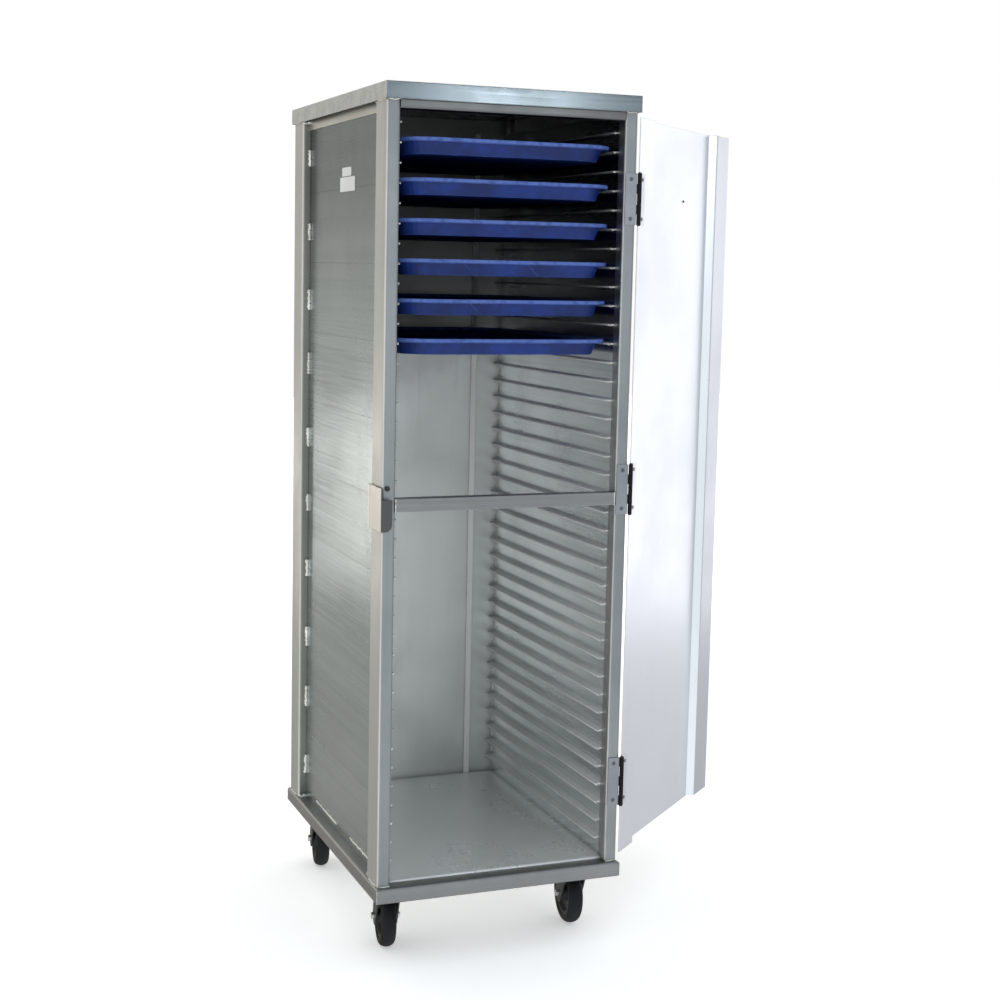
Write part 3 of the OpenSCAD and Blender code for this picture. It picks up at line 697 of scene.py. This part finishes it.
def weld_run_tree():
    """Rippled bead of overlapping drops along each line of a path."""
    group, take, give = new_tree("weld_run", "GeometryNodeTree", [("Geometry", SHAPE, None),
                                  ("Drop Radius", VALUE, 0.002), ("Spacing", VALUE, 0.002),
                                  ("Unevenness", VALUE, 0.25), ("Seed", "NodeSocketInt", 1),
                                  ("Material", "NodeSocketMaterial", None)],
                                 [("Geometry", SHAPE)])
    curve = group.add("GeometryNodeMeshToCurve")
    points = group.add("GeometryNodeResampleCurve", mode="LENGTH")
    drop = group.add("GeometryNodeMeshIcoSphere")
    drop.inputs["Subdivisions"].default_value = 2
    many = group.add("GeometryNodeInstanceOnPoints")
    group.link(take.outputs["Geometry"], curve.inputs[0])
    group.link(curve.outputs[0], points.inputs[0])
    group.link(take.outputs["Spacing"], points.inputs["Length"])
    group.link(take.outputs["Drop Radius"], drop.inputs["Radius"])
    group.link(points.outputs[0], many.inputs["Points"])
    group.link(drop.outputs["Mesh"], many.inputs["Instance"])
    size = group.add("FunctionNodeRandomValue", data_type="FLOAT_VECTOR")
    group.link(group.sum("SUBTRACT", 1.0, take.outputs["Unevenness"]), size.inputs["Min"])
    group.link(group.sum("ADD", 1.0, take.outputs["Unevenness"]), size.inputs["Max"])
    group.link(take.outputs["Seed"], size.inputs["Seed"])
    group.link(size.outputs["Value"], many.inputs["Scale"])
    ended(group, many.outputs[0], take.outputs["Material"], give)
    return group.tree


def rolled_rim_tree():
    """A round bead that follows a closed path."""
    group, take, give = new_tree("rolled_rim", "GeometryNodeTree", [("Geometry", SHAPE, None),
                                  ("Bead Radius", VALUE, 0.002),
                                  ("Material", "NodeSocketMaterial", None)],
                                 [("Geometry", SHAPE)])
    curve = group.add("GeometryNodeMeshToCurve")
    ring = group.add("GeometryNodeCurvePrimitiveCircle")
    ring.inputs["Resolution"].default_value = 12
    sweep = group.add("GeometryNodeCurveToMesh")
    group.link(take.outputs["Geometry"], curve.inputs[0])
    group.link(take.outputs["Bead Radius"], ring.inputs["Radius"])
    group.link(curve.outputs[0], sweep.inputs["Curve"])
    group.link(ring.outputs[0], sweep.inputs["Profile Curve"])
    ended(group, sweep.outputs[0], take.outputs["Material"], give)
    return group.tree


def grown(name, runs, tree, values, body, closed=False):
    """Runs a tree on lines of points and keeps the result as one plain mesh on a body."""
    points, lines = [], []
    for run in runs:
        start = len(points)
        points += [tuple(point) for point in run]
        lines += [(start + i, start + i + 1) for i in range(len(run) - 1)]
        if closed:
            lines.append((len(points) - 1, start))
    path = bpy.data.meshes.new(name + "_path")
    path.from_pydata(points, lines, [])
    maker = bpy.data.objects.new(name + "_maker", path)
    scene.collection.objects.link(maker)
    modifier = maker.modifiers.new("shape", "NODES")
    modifier.node_group = tree
    sockets = {item.name: item.identifier for item in tree.interface.items_tree if item.in_out == "INPUT"}
    for label, value in values.items():
        modifier[sockets[label]] = value
    depsgraph = bpy.context.evaluated_depsgraph_get()
    mesh = bpy.data.meshes.new_from_object(maker.evaluated_get(depsgraph), depsgraph=depsgraph)
    mesh.name = name
    bpy.data.objects.remove(maker)
    piece = bpy.data.objects.new(name, mesh)
    scene.collection.objects.link(piece)
    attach(piece, body)
    return piece


WELD_RUN = weld_run_tree()
ROLLED_RIM = rolled_rim_tree()


def box(name):
    low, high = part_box(name)
    return Vector(low), Vector(high)


def line(start, end, wobble=0.0, steps=2, phase=0.0):
    """Points from start to end, with a small wander up and down."""
    start, end = Vector(start), Vector(end)
    points = []
    for i in range(steps + 1):
        point = start.lerp(end, i / steps)
        point.z += wobble * math.sin(phase + i * 2.1) * math.sin(phase * 2 + i * 0.9)
        points.append(point)
    return points


def weld(name, runs, radius, spacing, unevenness, seed, finish="weld", body=CABINET):
    """Beads along the runs, kept as one piece."""
    values = {"Drop Radius": radius, "Spacing": spacing, "Unevenness": unevenness, "Seed": seed,
              "Material": FINISH[finish]}
    grown(name, runs, WELD_RUN, values, body)


def outer_side(name):
    """How far a box's outer side stands from the middle."""
    low, high = box(name)
    return max(abs(low.x), abs(high.x))


def stitch_welds():
    """Short bright welds where wall, posts, rails and bar meet."""
    proud, end_gap, lid_lap, sunk = 0.0004, 0.0008, 0.0295, 0.0006
    runs = []
    for side, word in SIDES:
        low, high = box(f"{word}_wall_planks")
        skin = side * (outer_side(f"{word}_wall_planks") + end_gap)
        y = box(f"front_{word}_post")[1].y + proud
        plank = (high.z - low.z) / PLANKS_A_SIDE
        for i in range(PLANKS_A_SIDE):
            z = low.z + plank * (i + 0.62)
            runs.append(line((skin, y, z), (skin, y, z + 0.024), steps=3))
    for corner in CORNERS:
        low, high = box(corner + "_post")
        face, away = (low.y, -1) if low.y < 0 else (high.y, 1)
        outer, inner = (low.x, high.x) if low.x < 0 else (high.x, low.x)
        near = outer + (inner - outer) * 0.2
        far = outer + (inner - outer) * 0.9
        y = face + away * proud
        for z in (low.z + end_gap, high.z - lid_lap):
            runs.append(line((near, y, z), (far, y, z), 0.0012, 5, outer))
            start, stop = face - away * 0.012, face - away * 0.052
            runs.append(line((outer, start, z), (outer, stop, z), 0.0015, 6, outer))
    low, high = box("middle_bar")
    for x in (low.x + sunk, high.x - sunk):
        runs.append(line((x, low.y + sunk, low.z + 0.001), (x, low.y + sunk, high.z - 0.001)))
        runs.append(line((x, low.y + 0.002, low.z), (x, high.y - 0.002, low.z)))
    weld("stitch_welds", runs, 0.0019, 0.0017, 0.3, 4)


def wall_stitches():
    """Fat, uneven stitches that hold each plank to the rear posts, and blobs at the posts' ends."""
    proud, lap = 0.0015, 0.002
    runs = []
    for side, word in SIDES:
        skin = side * (outer_side(f"{word}_wall_planks") + proud)
        edge = side * (outer_side(f"rear_{word}_post") - 0.004)
        post_low = box(f"rear_{word}_post")[0]
        for i in range(PLANKS_A_SIDE):
            z = FLOOR_TOP + PLANK * (i + 0.36) + 0.006 * math.sin(i * 2.3)
            length = 0.036 + 0.006 * math.sin(i * 1.3)
            runs.append(line((skin, post_low.y - 0.0016, z), (skin, post_low.y - lap, z + length), steps=5))
        for z in (post_low.z + lap, box(f"{word}_wall_planks")[1].z + 0.0005):
            for y in (post_low.y - lap, box(f"front_{word}_post")[1].y + lap):
                runs.append(line((skin, y, z), (edge, y, z), 0.002, 5, z))
    weld("wall_stitches", runs, 0.0046, 0.0034, 0.3, 12)


def long_beads():
    """Wandering beads along the left wall's foot; the right one is left clear for the folded-back door."""
    wall_low = box("left_wall_planks")[0]
    x = wall_low.x - 0.001
    z = wall_low.z + 0.0195
    runs = [line((x, 0.165, z), (x, 0.010, z - 0.002), 0.0016, 22, -0.6),
            line((x, -0.096, z), (x, -0.231, z + 0.001), 0.0016, 20, 0.7)]
    weld("wall_foot_beads", runs, 0.0026, 0.0022, 0.35, 9)


def corner_seams():
    """Tacks under the lid's sides, and seams at the corners of the lid and the base."""
    proud, sunk = 0.0004, 0.0005
    lid_low, lid_high = box("lid")
    runs = []
    for side in (-1, 1):
        x = side * (abs(lid_low.x) - 0.0015)
        for y in (-0.25, -0.09, 0.077, 0.24):
            runs.append(line((x, y, lid_low.z + proud), (x, y + 0.012, lid_low.z + proud), steps=3))
    for x in (lid_low.x + proud, lid_high.x - proud):
        for y in (lid_low.y + proud, lid_high.y - proud):
            runs.append(line((x, y, lid_low.z + 0.002), (x, y, lid_high.z - 0.002), steps=4))
    base_low, base_high = box("base_front_rail")
    for x in (base_low.x + sunk, base_high.x - sunk):
        for y in (base_low.y + sunk, box("base_rear_rail")[1].y - sunk):
            runs.append(line((x, y, base_low.z + 0.003), (x, y, base_high.z - 0.003), steps=4))
    weld("corner_seams", runs, 0.0008, 0.0009, 0.25, 2, finish="frame_upright")


LEDGES_A_SIDE = 39
LEDGE_THICK = 0.003


def ledge_heights(side):
    """The low side of each ledge on one side."""
    low, high = box(f"{side}_ledges")
    pitch = (high.z - low.z - LEDGE_THICK) / (LEDGES_A_SIDE - 1)
    return [low.z + pitch * i for i in range(LEDGES_A_SIDE)]


def inside_corner_stitches():
    """Small stitches at each pitch down the two inner back corners."""
    proud = 0.0008
    y = box("back_panel")[0].y - proud
    runs = []
    for side in (-1, 1):
        x = side * (box("right_wall_planks")[0].x - proud)
        for i, ledge in enumerate(ledge_heights("right")):
            z = ledge + 0.012
            runs.append(line((x, y, z), (x, y, z + 0.010 + 0.004 * math.sin(i * 1.7)), steps=3))
    weld("inside_corner_stitches", runs, 0.0014, 0.0014, 0.3, 6)


def ledge_end_beads():
    """A small bright drop on the front end of every ledge."""
    runs = []
    for side, word in SIDES:
        low, high = box(f"{word}_ledges")
        tip = (high.x if side < 0 else low.x) + side * 0.0030
        for ledge in ledge_heights(word):
            spot = Vector((tip, low.y - 0.0004, ledge + 0.0006))
            runs.append([spot, spot + Vector((0.0012, 0, 0))])
    weld("ledge_end_beads", runs, 0.0021, 0.0012, 0.2, 21)


def arc(centre_x, centre_y, radius, start, steps):
    """Points of a quarter circle that begins at the angle start."""
    turns = [math.radians(start + 90 * step / steps) for step in range(steps + 1)]
    return [(centre_x + radius * math.cos(turn), centre_y + radius * math.sin(turn)) for turn in turns]


def tray_rims():
    """A raised bead round the inside edge of each tray's rim."""
    inset, radius, bead, sunk = 0.0035, 0.0715, 0.0015, 0.0016
    reach = inset + radius
    for name in TRAYS:
        low, high = box(name)
        corners = ((high.x - reach, high.y - reach, 0), (low.x + reach, high.y - reach, 90),
                   (low.x + reach, low.y + reach, 180), (high.x - reach, low.y + reach, 270))
        ring = [spot for x, y, start in corners for spot in arc(x, y, radius, start, 12)]
        run = [(x, y, high.z - sunk) for x, y in ring]
        values = {"Bead Radius": bead, "Material": FINISH["tray"]}
        grown(name + "_bead", [run], ROLLED_RIM, values, name, closed=True)


# Each blank sticker's low y, high y, low z and high z.
STICKERS = ((-0.046, 0.019, 1.5745, 1.5925), (-0.072, 0.033, 1.5435, 1.5728))


def blank_label():
    """Two blank stickers, one above the other on the left wall, with round corners."""
    radius, thick = 0.003, 0.0003
    skin = box("left_wall_planks")[0].x - thick
    points, faces = [], []
    for y0, y1, z0, z1 in STICKERS:
        corners = ((y1 - radius, z1 - radius, 0), (y0 + radius, z1 - radius, 90),
                   (y0 + radius, z0 + radius, 180), (y1 - radius, z0 + radius, 270))
        ring = [spot for y, z, start in corners for spot in arc(y, z, radius, start, 4)]
        base = len(points)
        count = len(ring)
        points += [(x, y, z) for x in (skin, skin + thick) for y, z in ring]
        faces.append([base + i for i in reversed(range(count))])
        for i in range(count):
            after = (i + 1) % count
            faces.append((base + i, base + after, base + count + after, base + count + i))
        faces.append([base + count + i for i in range(count)])
    mesh = bpy.data.meshes.new("blank_label")
    mesh.from_pydata(points, [], faces)
    mesh.materials.append(FINISH["label"])
    label = bpy.data.objects.new("blank_label", mesh)
    scene.collection.objects.link(label)
    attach(label, CABINET)


# The door's length, and the way from its outer towards its inner side.
DOOR_ALONG = Vector((math.cos(DOOR_HEADING), math.sin(DOOR_HEADING), 0))
DOOR_INWARD = Vector((DOOR_ALONG.y, -DOOR_ALONG.x, 0))

# The slanted face's outline: how far along the door, and how far to its inner side.
STEP_PROFILE = ((0.4375, -0.0178), (0.4375, -0.0172), (0.4492, -0.0030), (0.4503, -0.0030), (0.4503, -0.0178))


def door_step_bevel():
    """The slanted face of the door's step, between its panel and its raised edge."""
    door_low, door_high = box("door_sheet")
    end_gap = 0.001
    axis = Vector(DOOR_JOINT["pos_m"])
    axis.z = 0
    points, faces = [], []
    for z in (door_low.z + end_gap, door_high.z - end_gap):
        for reach, off in STEP_PROFILE:
            points.append(axis + DOOR_ALONG * reach + DOOR_INWARD * off + Vector((0, 0, z)))
    count = len(STEP_PROFILE)
    for i in range(count):
        after = (i + 1) % count
        faces.append([i, after, count + after, count + i])
    faces += [list(range(count))[::-1], [count + i for i in range(count)]]
    mesh = bpy.data.meshes.new("door_step_bevel")
    mesh.from_pydata([tuple(point) for point in points], [], faces)
    shell = bmesh.new()
    shell.from_mesh(mesh)
    bmesh.ops.recalc_face_normals(shell, faces=shell.faces)
    shell.to_mesh(mesh)
    shell.free()
    mesh.materials.append(FINISH["door_step"])
    piece = bpy.data.objects.new("door_step_bevel", mesh)
    scene.collection.objects.link(piece)
    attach(piece, "door")


def door_plug():
    """A small dark plug in the door's inside face."""
    along, inward, height, length = 0.292, 0.0176, 1.542, 0.0008
    spot = Vector(DOOR_JOINT["pos_m"]) + DOOR_ALONG * along - DOOR_INWARD * inward
    spot.z = height
    runs = [[spot, spot + Vector((0, 0, length))]]
    weld("door_plug", runs, 0.0024, 0.0008, 0.1, 3, finish="knuckle_pin", body="door")


door_step_bevel()
door_plug()
stitch_welds()
wall_stitches()
long_beads()
corner_seams()
inside_corner_stitches()
ledge_end_beads()
tray_rims()
blank_label()
